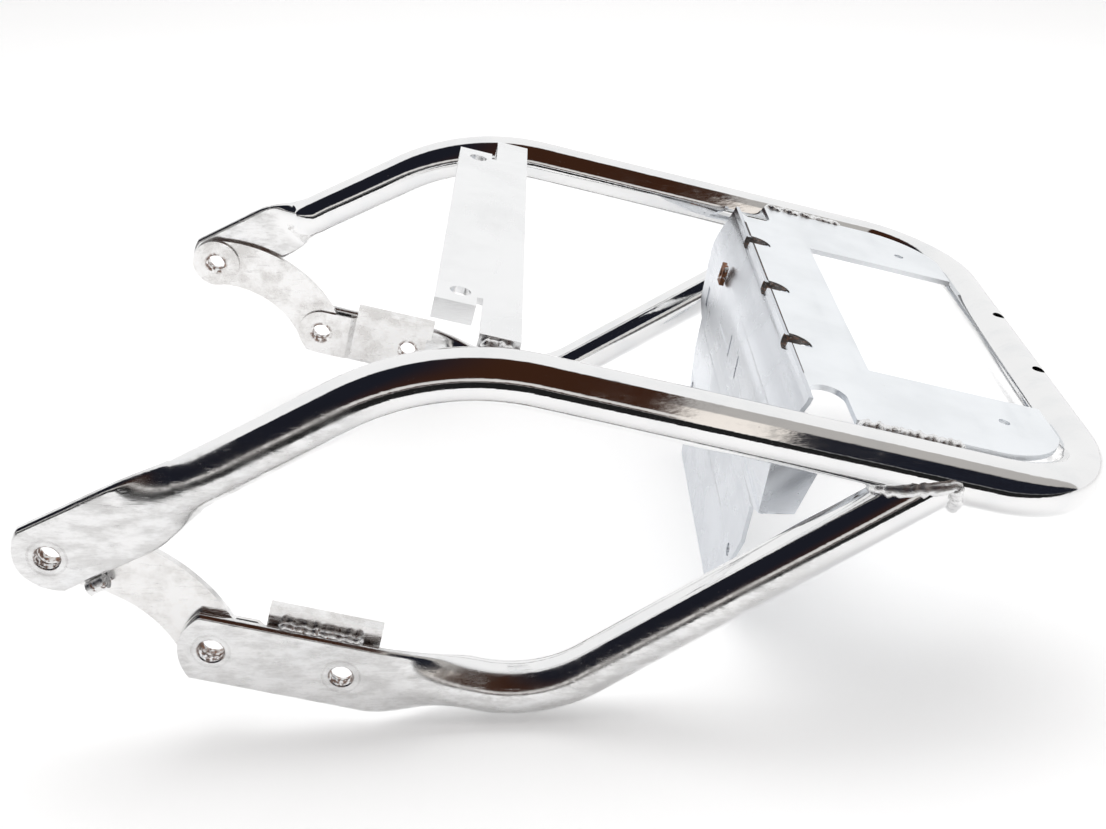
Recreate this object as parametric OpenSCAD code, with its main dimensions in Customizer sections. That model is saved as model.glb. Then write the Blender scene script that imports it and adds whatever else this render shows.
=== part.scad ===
// Welded and chromed tubular luggage rack for a motorcycle.
// It is drawn level: x runs to the rear from the bends at the top of the front
// legs, y runs across, z runs up, and the side rails lie at z = 0. At the end
// the whole rack is leaned back until it rests on its two braces and on the
// lower edge of the hanging plate.

/* [Tube] */
// Outside diameter of every tube
tube_d = 22.2; // [18:0.1:26]
// Wall of the tubes, pressed to twice this where an end is flattened
tube_wall = 2.1; // [1.6:0.1:2.6]
// Distance between the side rails, centre to centre
rail_gap = 283; // [270:1:310]
// Distance between the flattened lugs, centre to centre
lug_gap = 321; // [312:1:332]
// From the bends of the front legs to the rear cross tube
hoop_len = 277; // [260:0.5:300]
// Bend radius of the two rear corners
corner_r = 50; // [44:1:60]
// Bend radius at the top of the front legs
apex_r = 110; // [90:1:120]
// Angle of the front legs below the rails
leg_angle = 40.3; // [37:0.1:44]
// Width of the flattened ends
lug_w = 32.4; // [30:0.1:34]
// Outside diameter of the braces
brace_d = 22; // [18:0.1:26]

/* [Lugs] */
// From the bend to the upper bolt hole, along the leg
upper_run = 169; // [155:1:175]
// Upper bolt hole
upper_hole_d = 10; // [8:0.1:12]
// Front one of the lower bolt holes, below the upper one
link_drop = 29; // [24:0.5:36]
// The same hole, behind the upper one
link_back = 67.4; // [60:0.1:76]
// Spacing of the two lower bolt holes
lower_pitch = 52.9; // [46:0.1:56]
// Front one of the lower bolt holes, diameter
lower_front_d = 10.5; // [8:0.1:12]
// Rear one of the lower bolt holes, diameter
lower_rear_d = 9.5; // [8:0.1:12]
// From a bolt hole to the tip of its lug
lug_tip = 13.4; // [12:0.1:16]
// Radius of the upper lug's end
upper_end_r = 18; // [17:0.5:22]
// Radius of the lower lug's end
lower_end_r = 24; // [20:0.5:30]
// Flat stretch of the upper lug behind its hole
upper_flat = 37; // [36:1:40]
// Flat stretch of the lower lug behind its rear hole
lower_flat = 11; // [8:0.5:14]
// Length over which the upper end turns from flat to round
upper_swage = 34; // [30:1:50]

/* [Braces] */
// Centre of the round brace above the centre of its lug
brace_rise = 1.5; // [0:0.5:4]
// Bend radius of the brace
brace_r = 60; // [50:1:70]
// From the rear lower hole to the corner of the brace
brace_run = 81.5; // [78:0.5:90]
// Straight tube between the pressed end and the bend
swage_gap = 3.2; // [1:0.1:8]
// Where the line of the brace meets the rail, ahead of the rear tube
meet_back = 71; // [64:1:78]

/* [Link plates] */
// Thickness of the curved link plates
link_t = 3; // [2:0.5:4]
// Width of the curved link plates
link_w = 27; // [24:0.5:30]
// Radius of the curved link plates at their middle
link_r = 64; // [60:1:70]
// Diameter of the pad about the upper hole
pad_d = 27; // [24:0.5:30]
// Thickness of the pad and of the backing strip
pad_t = 1.5; // [1:0.5:2.5]
// Backing strip past the rear lower hole
strip_over = 10; // [8:0.5:10.5]

/* [Ledges] */
// Length of the ledge on each lower lug
ledge_len = 46; // [36:1:52]
// Reach of the ledge inwards
ledge_reach = 5.3; // [4:0.1:11]
// Depth of the ledge's leg
ledge_leg = 12.5; // [9:0.5:14]
// Top of the ledge above the edge of the lug
ledge_rise = 6.5; // [4:0.5:8]
// Sheet of the ledge
ledge_t = 2; // [1.5:0.5:2.5]
// Front end of the ledge, behind the front lower hole
ledge_back = 19.5; // [17:0.5:24]

/* [Cross strap] */
// Front edge of the strap, measured from the bends
strap_x = -5; // [-9:0.5:0]
// Width of the strap
strap_w = 36; // [30:1:40]
// Sheet of the strap
strap_t = 3; // [2:0.5:4]
// Top of the strap below the tops of the rails
strap_drop = 1.9; // [1.2:0.1:2.6]
// Width of the front half of the strap
strap_front_w = 17; // [14:0.5:20]
// Slit between the two halves of an end
strap_slit = 2.5; // [2:0.5:5]
// Reach of the front half from the centre
strap_front_y = 104; // [100:1:110]
// Gap between the rear half and the skin of the rail
strap_gap = 2.7; // [2:0.1:4]
// Drop of the turned down ends
strap_turn = 9; // [6:0.5:12]
// Holes in the strap, from the centre
strap_hole_y = 92; // [80:1:98]
// Holes in the strap, diameter
strap_hole_d = 8.8; // [6:0.1:10]

/* [Deck plate] */
// Sheet of the deck plate
deck_t = 2.5; // [2:0.5:3.5]
// Top of the deck plate below the tops of the rails
deck_drop = 2.4; // [1.5:0.1:3.2]
// Front edge of the deck plate, ahead of the rear tube
deck_back = 125.5; // [118:0.5:132]
// Front edge of the window behind the deck's front edge
window_x = 33; // [28:1:40]
// Half width of the window between the arms
window_y = 75; // [66:1:84]
// Gap between the deck plate and the skin of the rail
deck_gap = 2.8; // [2:0.1:4]
// Gap from the arms to the rear tube
arm_gap = 2.5; // [1.5:0.5:5]
// Holes in the arms, from the centre
arm_hole_y = 98; // [88:1:108]
// Holes in the arms, behind the deck's front edge
arm_hole_x = 88.5; // [80:0.5:95]
// Holes in the arms, diameter
arm_hole_d = 5; // [4:0.5:7]
// Radius of the three half-moon openings on the front seam
seam_hole_r = 9.5; // [6:0.5:10]
// Centre of their arcs in the hanging plate, above its top edge
seam_arc_up = 6; // [4:0.5:8]
// Spacing of the three half-moon openings
seam_pitch = 62.6; // [50:0.1:66]
// From the straight side of each half-moon opening to the centre of its arc
seam_chord = 1.5; // [0:0.5:4]
// Width of the relief beside each rail
relief_w = 16; // [12:1:20]
// Depth of the relief from the skin of the rail
relief_y = 28; // [22:1:30]

/* [Hanging plate] */
// Sheet of the hanging plate
hang_t = 2; // [1.5:0.5:3]
// Fold line below the rails
hang_fold_z = 48; // [42:1:54]
// Fold line ahead of the deck's front edge
hang_fold_x = 3; // [1:0.5:5]
// Roll below the rails, where the plate stands furthest forward
hang_roll_z = 12; // [8:1:16]
// Roll ahead of the deck's front edge
hang_roll_x = 6.5; // [5:0.5:8]
// Lower edge below the rails
hang_low_z = 123; // [116:0.5:130]
// Lower edge behind the deck's front edge
hang_low_x = 3.4; // [1:0.1:6]
// Reach of the upper panel from the centre
hang_top_y = 118; // [112:1:122]
// Reach of the lower panel from the centre
hang_mid_y = 102; // [96:1:106]
// Reach of the lower edge from the centre
hang_low_y = 70; // [60:1:80]
// Length of the two long slots
slot_len = 12; // [8:1:16]
// Width of the two long slots
slot_w = 2.2; // [1.5:0.1:3]
// Spacing of the two long slots
slot_pitch = 25; // [18:1:32]
// Middle of the two long slots below the rails
slot_z = 30; // [24:1:34]
// Holes at the lower corners, diameter
corner_hole_d = 6; // [4:0.5:8]
// Holes at the lower corners, from the centre
corner_hole_y = 84; // [78:1:88]
// Holes at the lower corners, below the rails
corner_hole_z = 88; // [82:1:92]
// Odd slot near the right end of the plate, from the centre
end_slot_y = 98; // [92:1:104]
// Torn notch near the left of the plate, from the centre
notch_y = 44; // [36:1:52]
// Clip on the plate, from the centre
clip_y = 63; // [50:1:76]
// Reach of the side flanges to the rear of the plate
ear_x = 13; // [9:1:16]

/* [Openings in the tube] */
// Vent holes in the rear tube, from the centre
vent_y = 32; // [24:1:44]
// Vent holes, diameter
vent_d = 6; // [4:0.5:8]

/* [Welds] */
// Size of the beads at the feet of the braces
brace_bead = 4; // [3:0.5:5]
// Reach of the same beads from the skin of the rail
rail_bead = 3; // [2:0.5:4]
// Size of the beads along the deck and the strap
deck_bead = 3; // [2.5:0.25:3.5]
// Size of the short beads under the seam
seam_bead = 2.5; // [2:0.25:3]
// Length of the short beads under the seam
seam_bead_len = 20; // [12:1:30]
// Length of the beads along the deck
deck_bead_len = 46; // [30:1:50]

/* [Hidden] */

$fn = 64;
chrome = "gainsboro";
dull_chrome = "silver";
sheet_steel = "lightsteelblue";
bead_steel = "darkgray";
rust = "sienna";

tube_r = tube_d/2;
rail_y = rail_gap/2;
lug_y = lug_gap/2;
lug_t = 2*tube_wall;
cut = 1;
seat = 0.02;

// Reach from the centre plane of a sheet whose underside lies at height z, with a gap to the rail
function beside_rail(z, gap) = rail_y - sqrt(tube_r*tube_r - z*z) - gap;
strap_z = tube_r - strap_drop;
strap_rear_y = beside_rail(strap_z - strap_t, strap_gap);
deck_z = tube_r - deck_drop;
deck_y = beside_rail(deck_z - deck_t, deck_gap);
deck_x = hoop_len - deck_back;

// Points in the side view, as [x, z]
upper_hole = [-upper_run*cos(leg_angle), -upper_run*sin(leg_angle)];
lower_front_x = -upper_hole[0] - link_back;
lower_drop = link_drop - upper_hole[1];
lower_rear_x = lower_pitch - lower_front_x;
lower_front = [-lower_front_x, -lower_drop];
lower_rear = [lower_rear_x, -lower_drop];

// The brace: its corner, where its line meets the rail, and the angle between
brace_z = -lower_drop + brace_rise;
brace_x = lower_rear_x + brace_run;
brace_meet = hoop_len - meet_back;
brace_angle = atan2(-brace_z, brace_meet - brace_x);
lower_swage = brace_run - lower_flat - swage_gap - brace_r*tan(brace_angle/2);

// Inner faces, counted from the centre plane
link_y = lug_y - lug_t/2;
pad_y = link_y - link_t;

// Lean at which the braces and the hanging plate touch the ground together
arc_x = brace_x - brace_r*tan(brace_angle/2);
arc_z = brace_z + brace_r;
low_dx = deck_x + hang_low_x - arc_x;
low_dz = arc_z + hang_low_z;
reach = sqrt(low_dx*low_dx + low_dz*low_dz);
lean = asin((brace_r + brace_d/2)/reach) - atan2(low_dz, low_dx);
ground_z = arc_z*cos(lean) - arc_x*sin(lean) - (brace_r + brace_d/2);

// Centre of the box around the leaned rack, which is the origin
rear_x = hoop_len*cos(lean) + tube_r;
lug_c = upper_end_r - lug_tip;
tip_x = upper_hole[0]*cos(lean) + upper_hole[1]*sin(lean)
    + lug_c*cos(leg_angle - lean) - upper_end_r;
mid_x = (rear_x + tip_x)/2;

function unit(v) = v/norm(v);

// Puts the level rack on the ground
module resting() {
    translate([-mid_x, 0, -ground_z]) rotate([0, lean, 0]) children();
}

// Turns a side view outline into a plate whose middle lies at y
module side_plate(y, t) {
    translate([0, y + t/2, 0]) rotate([90, 0, 0]) linear_extrude(t) children();
}

// The other side of the rack
module left() {
    mirror([0, 1, 0]) children();
}

// Round bar from a to b
module rod(a, b, d) {
    v = b - a;
    translate(a) rotate([0, acos(v[2]/norm(v)), atan2(v[1], v[0])]) cylinder(d = d, h = norm(v));
}

// Quarter of a ring at corner c, between the points before and after it
module elbow(before, c, after, r, d) {
    u1 = unit(before - c);
    u2 = unit(after - c);
    turn = 180 - acos(u1*u2);
    centre = c + unit(u1 + u2)*r/cos(turn/2);
    ex = unit(c + u1*r*tan(turn/2) - centre);
    ez = unit(cross(ex, -u1));
    ey = cross(ez, ex);
    multmatrix([[ex[0], ey[0], ez[0], centre[0]],
        [ex[1], ey[1], ez[1], centre[1]],
        [ex[2], ey[2], ez[2], centre[2]],
        [0, 0, 0, 1]])
        rotate_extrude(angle = turn, $fn = 240) translate([r, 0]) circle(d = d, $fn = 64);
}

// Tube of one piece, drawn through stations. A station is [place, way, flatness,
// radius]: flatness is 0 where the tube is round and 1 where it is pressed flat.
sides = 24;

// Point k of the pressed flat section, as [across, along its width]
function flat_point(k) = let (
        half = k < sides/4 || k >= 3*sides/4 ? 1 : -1,
        v = (k <= sides/4 ? k : k <= 3*sides/4 ? sides/2 - k : k - sides)/(sides/4),
        w = (lug_w - lug_t)/2,
        v0 = 1 - 4/sides)
    abs(v) > v0 + 0.01 ? [0, sign(v)*lug_w/2] : [half*lug_t/2, v/v0*w];

function section(k, f, r) =
    (1 - f)*r*[cos(360*k/sides), sin(360*k/sides)] + f*flat_point(k);

function ring(st) = let (
        t = unit(st[1]),
        up = unit([0, 0, 1] - t*t[2]),
        across = cross(t, up))
    [for (k = [0:sides - 1]) let (q = section(k, st[2], st[3])) st[0] + across*q[0] + up*q[1]];

// Stations of a bend of radius r from point a past corner c towards point b
function bend(a, c, b, r, d, n) = let (
        d1 = unit(c - a),
        d2 = unit(b - c),
        turn = acos(d1*d2),
        start = c - d1*r*tan(turn/2),
        centre = c + unit(d2 - d1)*r/cos(turn/2),
        ex = unit(start - centre))
    [for (i = [0:n]) [centre + r*(cos(turn*i/n)*ex + sin(turn*i/n)*d1),
        cos(turn*i/n)*d1 - sin(turn*i/n)*ex, 0, d/2]];

function smooth(v) = v*v*(3 - 2*v);

// Stations of a flattened end: at is its hole, way its direction, flat and swage
// the lengths behind the hole, and rise how far the round part stands above it
function pressed_end(at, way, flat, swage, d, rise) = let (
        y = lug_y + lug_t/2,
        go = function (l, f, z) [[at[0] + l*way[0], y - (1 - f)*d/2 - f*lug_t/2, at[1] + l*way[1] + z],
            [way[0], 0, way[1]], f, d/2])
    concat([go(-lug_tip - cut, 1, 0), go(flat, 1, 0)],
        [for (i = [1:8]) go(flat + swage*i/8, 1 - smooth(i/8), rise*smooth(i/8))]);

module swept(list) {
    n = len(list);
    points = concat([for (st = list) each ring(st)], [list[0][0], list[n - 1][0]]);
    polyhedron(points, concat(
        [for (i = [0:n - 2], k = [0:sides - 1]) let (j = (k + 1) % sides)
            [i*sides + k, (i + 1)*sides + k, i*sides + j]],
        [for (i = [0:n - 2], k = [0:sides - 1]) let (j = (k + 1) % sides)
            [i*sides + j, (i + 1)*sides + k, (i + 1)*sides + j]],
        [for (k = [0:sides - 1]) [n*sides, k, (k + 1) % sides]],
        [for (k = [0:sides - 1]) [n*sides + 1, (n - 1)*sides + (k + 1) % sides, (n - 1)*sides + k]]));
}

// What is cut from the tip of a flattened end, to leave an arc of radius end_r
module tip_cut(end_r) {
    difference() {
        translate([0, -lug_w]) square([2*lug_tip, 2*lug_w]);
        translate([lug_tip - end_r, 0]) circle(r = end_r, $fn = 96);
    }
}

// Stations of one side of the hoop, from its lug to the middle of the rear tube
leg_way = [cos(leg_angle), sin(leg_angle)];
leg_end = pressed_end(upper_hole, leg_way, upper_flat, upper_swage, tube_d, 0);
leg_start = leg_end[len(leg_end) - 1][0];
hoop_side = concat(leg_end,
    bend(leg_start, [0, rail_y, 0], [hoop_len, rail_y, 0], apex_r, tube_d, 10),
    bend([0, rail_y, 0], [hoop_len, rail_y, 0], [hoop_len, 0, 0], corner_r, tube_d, 16));
hoop_back = [for (i = [len(hoop_side) - 1:-1:0]) let (st = hoop_side[i])
    [[st[0][0], -st[0][1], st[0][2]], [-st[1][0], st[1][1], -st[1][2]], st[2], st[3]]];

module upper_cuts() {
    side_plate(lug_y, tube_d) translate(upper_hole) rotate(180 + leg_angle) tip_cut(upper_end_r);
    translate([upper_hole[0], lug_y, upper_hole[1]]) rotate([90, 0, 0])
        cylinder(d = upper_hole_d, h = lug_t + 2*cut, center = true);
}

module hoop_tube() {
    color(chrome) resting() difference() {
        swept(concat(hoop_side, hoop_back));
        upper_cuts();
        left() upper_cuts();
        for (s = [-1, 1]) translate([hoop_len, s*vent_y, 0]) cylinder(d = vent_d, h = tube_r + cut);
    }
}

// Stations of the brace, from its lug to the middle of the rail
brace_end = pressed_end(lower_front, [1, 0], lower_pitch + lower_flat, lower_swage, brace_d, brace_rise);
brace_start = brace_end[len(brace_end) - 1][0];
brace_y = brace_start[1];
brace_path = [brace_start, [brace_x, brace_y, brace_z], [brace_meet, rail_y, 0]];
brace_side = concat(brace_end,
    bend(brace_path[0], brace_path[1], brace_path[2], brace_r, brace_d, 12),
    [[brace_path[2], brace_path[2] - brace_path[1], 0, brace_d/2]]);

module rail_blank(d) {
    rod([0, rail_y, 0], [hoop_len, rail_y, 0], d);
}

module brace() {
    difference() {
        swept(brace_side);
        rail_blank(tube_d);
        side_plate(lug_y, tube_d) translate(lower_front) rotate(180) tip_cut(lower_end_r);
        translate([lower_front[0], lug_y, lower_front[1]]) rotate([90, 0, 0])
            cylinder(d = lower_front_d, h = lug_t + 2*cut, center = true);
        translate([lower_rear[0], lug_y, lower_rear[1]]) rotate([90, 0, 0])
            cylinder(d = lower_rear_d, h = lug_t + 2*cut, center = true);
    }
}

module brace_right() { color(chrome) resting() brace(); }
module brace_left() { color(chrome) resting() left() brace(); }

// Curved link plate between the upper and the front lower hole
link_mid = (upper_hole + lower_front)/2;
link_half = norm(lower_front - upper_hole)/2;
link_dir = unit(lower_front - upper_hole);
link_c = link_mid + [link_dir[1], -link_dir[0]]*sqrt(link_r*link_r - link_half*link_half);
link_a1 = atan2(lower_front[1] - link_c[1], lower_front[0] - link_c[0]);
link_a2 = atan2(upper_hole[1] - link_c[1], upper_hole[0] - link_c[0]);

// Slice of a ring about the origin, from angle a1 to a2
module ring_sector(r1, r2, a1, a2) {
    difference() {
        intersection() {
            circle(r = r2, $fn = 128);
            polygon([[0, 0], 2*r2*[cos(a1), sin(a1)],
                2*r2*[cos((a1 + a2)/2), sin((a1 + a2)/2)], 2*r2*[cos(a2), sin(a2)]]);
        }
        circle(r = r1, $fn = 128);
    }
}

module link_plate() {
    difference() {
        side_plate(link_y - link_t/2, link_t) union() {
            translate(link_c) ring_sector(link_r - link_w/2, link_r + link_w/2, link_a1, link_a2);
            translate(upper_hole) circle(d = link_w);
            translate(lower_front) circle(d = link_w);
        }
        translate([upper_hole[0], pad_y, upper_hole[1]]) rotate([-90, 0, 0])
            translate([0, 0, -cut]) cylinder(d = upper_hole_d, h = link_t + 2*cut);
        translate([lower_front[0], pad_y, lower_front[1]]) rotate([-90, 0, 0])
            translate([0, 0, -cut]) cylinder(d = lower_front_d, h = link_t + 2*cut);
    }
}

module link_plate_right() { color(dull_chrome) resting() link_plate(); }
module link_plate_left() { color(dull_chrome) resting() left() link_plate(); }

module upper_pad() {
    translate([upper_hole[0], pad_y, upper_hole[1]]) rotate([90, 0, 0]) difference() {
        cylinder(d = pad_d, h = pad_t);
        translate([0, 0, -cut]) cylinder(d = upper_hole_d, h = pad_t + 2*cut);
    }
}

module upper_pad_right() { color(dull_chrome) resting() upper_pad(); }
module upper_pad_left() { color(dull_chrome) resting() left() upper_pad(); }

// Backing strip: it lies on the link plate in front and steps back to the lug
step_x = link_w/2 + 2;
module backing_strip() {
    difference() {
        intersection() {
            side_plate(link_y - link_t, 4*link_t) union() {
                translate(lower_front) circle(d = pad_d);
                translate([lower_front[0], -lower_drop - pad_d/2])
                    square([lower_pitch + strip_over, pad_d]);
            }
            translate([lower_front[0], 0, -2*lower_drop]) linear_extrude(2*lower_drop) polygon([
                [-pad_d, pad_y], [step_x, pad_y], [step_x + link_t, link_y],
                [lower_pitch + strip_over + cut, link_y],
                [lower_pitch + strip_over + cut, link_y - pad_t],
                [step_x + link_t + pad_t/2, link_y - pad_t],
                [step_x + pad_t/2, pad_y - pad_t], [-pad_d, pad_y - pad_t]]);
        }
        translate([lower_front[0], 0, lower_front[1]]) rotate([-90, 0, 0])
            cylinder(d = lower_front_d, h = lug_y);
        translate([lower_rear[0], 0, lower_rear[1]]) rotate([-90, 0, 0])
            cylinder(d = lower_rear_d, h = lug_y);
    }
}

module backing_strip_right() { color(dull_chrome) resting() backing_strip(); }
module backing_strip_left() { color(dull_chrome) resting() left() backing_strip(); }

// Angle on the backing strip, standing above the top edge of the lower lug
ledge_top = -lower_drop + lug_w/2 + ledge_rise;
ledge_x = lower_front[0] + ledge_back;
ledge_y = link_y - pad_t;
module ledge() {
    translate([ledge_x, 0, 0]) rotate([90, 0, 90]) linear_extrude(ledge_len) polygon([
        [ledge_y, ledge_top], [ledge_y, ledge_top - ledge_leg],
        [ledge_y - ledge_t, ledge_top - ledge_leg], [ledge_y - ledge_t, ledge_top - ledge_t],
        [ledge_y - ledge_reach, ledge_top - ledge_t], [ledge_y - ledge_reach, ledge_top]]);
}

module ledge_right() { color(dull_chrome) resting() ledge(); }
module ledge_left() { color(dull_chrome) resting() left() ledge(); }

// Bead between the lug's top edge and the ledge, above the strip
ledge_bead = 2.4;
ledge_end = 3;
module ledge_weld() {
    translate([ledge_x + ledge_end, 0, 0]) rotate([90, 0, 90]) linear_extrude(ledge_len - 3*ledge_end) difference() {
        translate([link_y + 0.3, -lower_drop + lug_w/2 + 0.4]) circle(r = ledge_bead, $fn = 48);
        translate([ledge_y - 4*ledge_bead, -2*lower_drop]) square([4*ledge_bead, 2*lower_drop]);
        translate([link_y, -2*lower_drop]) square([lug_t, lower_drop + lug_w/2]);
    }
}

module ledge_weld_right() { color(rust) resting() ledge_weld(); }
module ledge_weld_left() { color(rust) resting() left() ledge_weld(); }

// Short peg on the link plate, against the lower edge of the upper lug
peg_d = 6;
peg_len = 8;
peg_start = 6;
module link_peg() {
    along = [cos(leg_angle), sin(leg_angle)];
    down = [sin(leg_angle), -cos(leg_angle)];
    p = upper_hole + along*peg_start + down*(lug_w/2 + peg_d/2 + 0.1);
    translate([p[0], link_y + peg_d/2, p[1]]) rotate([0, 90 - leg_angle, 0])
        cylinder(d = peg_d, h = peg_len, $fn = 32);
}

module link_peg_right() { color(rust) resting() link_peg(); }
module link_peg_left() { color(rust) resting() left() link_peg(); }

// Half of the strap, for y above 0
strap_rear_x = strap_x + strap_front_w + strap_slit;
strap_rear_w = strap_w - strap_front_w - strap_slit;
module strap_half() {
    translate([strap_x, 0, strap_z - strap_t]) cube([strap_front_w, strap_front_y, strap_t]);
    translate([strap_x, 0, strap_z - strap_t]) cube([strap_w, strap_front_y - strap_turn, strap_t]);
    translate([strap_x, strap_front_y - strap_t, strap_z - strap_turn])
        cube([strap_front_w, strap_t, strap_turn]);
    translate([strap_rear_x, 0, strap_z - strap_t]) cube([strap_rear_w, strap_rear_y, strap_t]);
    translate([strap_rear_x, strap_rear_y - strap_t, strap_z - strap_turn])
        cube([strap_rear_w, strap_t, strap_turn]);
}

module cross_strap() {
    color(sheet_steel) resting() difference() {
        union() {
            strap_half();
            left() strap_half();
        }
        for (s = [-1, 1]) translate([strap_x + strap_front_w/2 + 1.5, s*strap_hole_y, 0])
            cylinder(d = strap_hole_d, h = strap_z + cut);
    }
}

// Bead between the strap and the tube
strap_bead = 4;
module strap_weld() {
    difference() {
        translate([strap_rear_x + 1, strap_rear_y + 1.4, strap_z - 4.2]) rotate([0, 90, 0])
            cylinder(r = strap_bead, h = strap_rear_w - 2, $fn = 24);
        elbow(leg_start, [0, rail_y, 0], [hoop_len, rail_y, 0], apex_r, tube_d);
        translate([strap_rear_x - cut, strap_rear_y - 2*strap_bead, -tube_d])
            cube([strap_rear_w + 2*cut, 2*strap_bead, 2*tube_d]);
    }
}

module strap_weld_right() { color(bead_steel) resting() strap_weld(); }
module strap_weld_left() { color(bead_steel) resting() left() strap_weld(); }

// Deck plate: a cross portion and two arms that follow the inside of the hoop
deck_end = hoop_len - tube_r - arm_gap;
arm_c = rail_y - corner_r;
arm_r = deck_y - arm_c;
// Half-moon opening on the seam: straight on its left side, round on its right
module half_moon() {
    intersection() {
        circle(r = seam_hole_r);
        translate([-seam_hole_r, -seam_chord]) square(2*seam_hole_r);
    }
}

module deck_outline() {
    difference() {
        intersection() {
            translate([deck_x, -deck_y]) square([deck_end - deck_x, 2*deck_y]);
            union() {
                translate([deck_x, -deck_y]) square([hoop_len - corner_r - deck_x, 2*deck_y]);
                for (s = [-1, 1]) translate([hoop_len - corner_r, s*arm_c])
                    circle(r = arm_r, $fn = 96);
                translate([deck_x, -arm_c]) square([hoop_len, 2*arm_c]);
            }
        }
        translate([deck_x + window_x, -window_y]) square([hoop_len, 2*window_y]);
        for (s = [-1:1]) translate([deck_x, s*seam_pitch]) half_moon();
        for (s = [-1, 1]) {
            translate([deck_x + relief_w/2, s*(rail_y - tube_r - relief_y + relief_w/2)])
                circle(d = relief_w);
            translate([deck_x - cut, s*(rail_y - tube_r - relief_y/2 + relief_w/2) - relief_y/2])
                square([relief_w + cut, relief_y]);
            translate([deck_x + arm_hole_x, s*arm_hole_y]) circle(d = arm_hole_d);
        }
    }
}

module deck_plate() {
    color(sheet_steel) resting()
        translate([0, 0, deck_z - deck_t]) linear_extrude(deck_t) deck_outline();
}

// Bead between an arm of the deck and its rail
deck_bead_y = 1.3;
module deck_weld() {
    difference() {
        translate([deck_x + relief_w, deck_y + deck_bead_y, deck_z - deck_t/2]) rotate([0, 90, 0])
            cylinder(r = deck_bead, h = deck_bead_len, $fn = 24);
        rail_blank(tube_d);
        translate([deck_x, deck_y - 2*deck_bead, -tube_d]) cube([hoop_len, 2*deck_bead, 2*tube_d]);
    }
}

module deck_weld_right() { color(bead_steel) resting() deck_weld(); }
module deck_weld_left() { color(bead_steel) resting() left() deck_weld(); }

// Hanging plate: the profile in the side view, then the shape seen from the rear
hang_line = [[deck_x - seat, deck_z], [deck_x - seat, deck_z - deck_t - 1],
    [deck_x - hang_roll_x, -hang_roll_z], [deck_x - hang_fold_x, -hang_fold_z],
    [deck_x + hang_low_x, -hang_low_z]];
module hang_profile() {
    polygon(concat(hang_line, [for (i = [len(hang_line) - 1:-1:0]) hang_line[i] - [hang_t, 0]]));
}

module hang_outline() {
    polygon([[-hang_top_y, deck_z + cut], [-hang_top_y, -hang_fold_z], [-hang_mid_y, -hang_fold_z - 6],
        [-hang_mid_y, -hang_fold_z - 24], [-hang_low_y, -hang_low_z - cut],
        [hang_low_y, -hang_low_z - cut], [hang_mid_y, -hang_fold_z - 24],
        [hang_mid_y, -hang_fold_z - 6], [hang_top_y, -hang_fold_z], [hang_top_y, deck_z + cut]]);
}

// Slot with round ends, centred, its length along y of the outline
module slot_outline(l, w) {
    square([w, l - w], center = true);
    for (s = [-1, 1]) translate([0, s*(l - w)/2]) circle(d = w, $fn = 24);
}

// Side flange of the upper panel, turned to the rear
module side_flange() {
    side_plate(hang_top_y - hang_t/2, hang_t) polygon([
        [deck_x - hang_fold_x - hang_t/2, -hang_fold_z], [deck_x - hang_fold_x + ear_x, -hang_fold_z + 3],
        [deck_x + ear_x, -hang_fold_z + 24], [deck_x + ear_x, -hang_roll_z],
        [deck_x - hang_roll_x - hang_t/2, -hang_roll_z]]);
}

module hanging_plate() {
    color(sheet_steel) resting() union() {
        hanging_panel();
        side_flange();
        left() side_flange();
    }
}

module hanging_panel() {
    intersection() {
        translate([0, hang_top_y + cut, 0]) rotate([90, 0, 0])
            linear_extrude(2*hang_top_y + 2*cut) hang_profile();
        translate([deck_x - hoop_len/2, 0, 0]) rotate([90, 0, 90]) linear_extrude(hoop_len)
            difference() {
                hang_outline();
                for (s = [-1:1]) translate([s*seam_pitch, deck_z + seam_arc_up])
                    rotate(-90) half_moon();
                for (s = [-1, 1]) translate([s*slot_pitch/2, -slot_z])
                    slot_outline(slot_len, slot_w);
                translate([end_slot_y, -hang_fold_z + 9]) square([5, 11], center = true);
                translate([-notch_y, -hang_fold_z + 6]) polygon([[-4, 0], [4, 0], [0, 9]]);
                for (s = [-1, 1]) translate([s*corner_hole_y, -corner_hole_z])
                    circle(d = corner_hole_d);
            }
    }
}

// Small clip left on the upper panel
module plate_clip() {
    color(rust) resting() translate([deck_x - hang_roll_x - hang_t - 2.4 - seat, clip_y, -hang_roll_z])
        difference() {
            translate([0, -4, -5]) cube([2.4, 8, 10]);
            translate([-cut, 0, 0]) rotate([0, 90, 0]) cylinder(d = 4, h = 5, $fn = 32);
        }
}

// Short beads in the corner under the seam of the deck and the hanging plate
module seam_welds() {
    color(rust) resting() for (s = [-1.5, -0.5, 0.5, 1.5])
        translate([deck_x, s*seam_pitch, deck_z - deck_t]) rotate([90, 0, 0]) intersection() {
            cylinder(r = seam_bead, h = seam_bead_len, center = true, $fn = 48);
            translate([0, -2*seam_bead, -seam_bead_len]) cube([2*seam_bead, 2*seam_bead, 2*seam_bead_len]);
        }
}

// Saddle bead where the brace meets the rail
module brace_weld() {
    v = unit(brace_path[2] - brace_path[1]);
    difference() {
        intersection() {
            rod(brace_path[2] - v*2*tube_d, brace_path[2] - v*brace_bead, brace_d + 2*brace_bead);
            rail_blank(tube_d + 2*rail_bead);
        }
        rod(brace_path[2] - v*3*tube_d, brace_path[2] + v*tube_d, brace_d);
        rail_blank(tube_d);
    }
}

module brace_weld_right() { color(bead_steel) resting() brace_weld(); }
module brace_weld_left() { color(bead_steel) resting() left() brace_weld(); }

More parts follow.
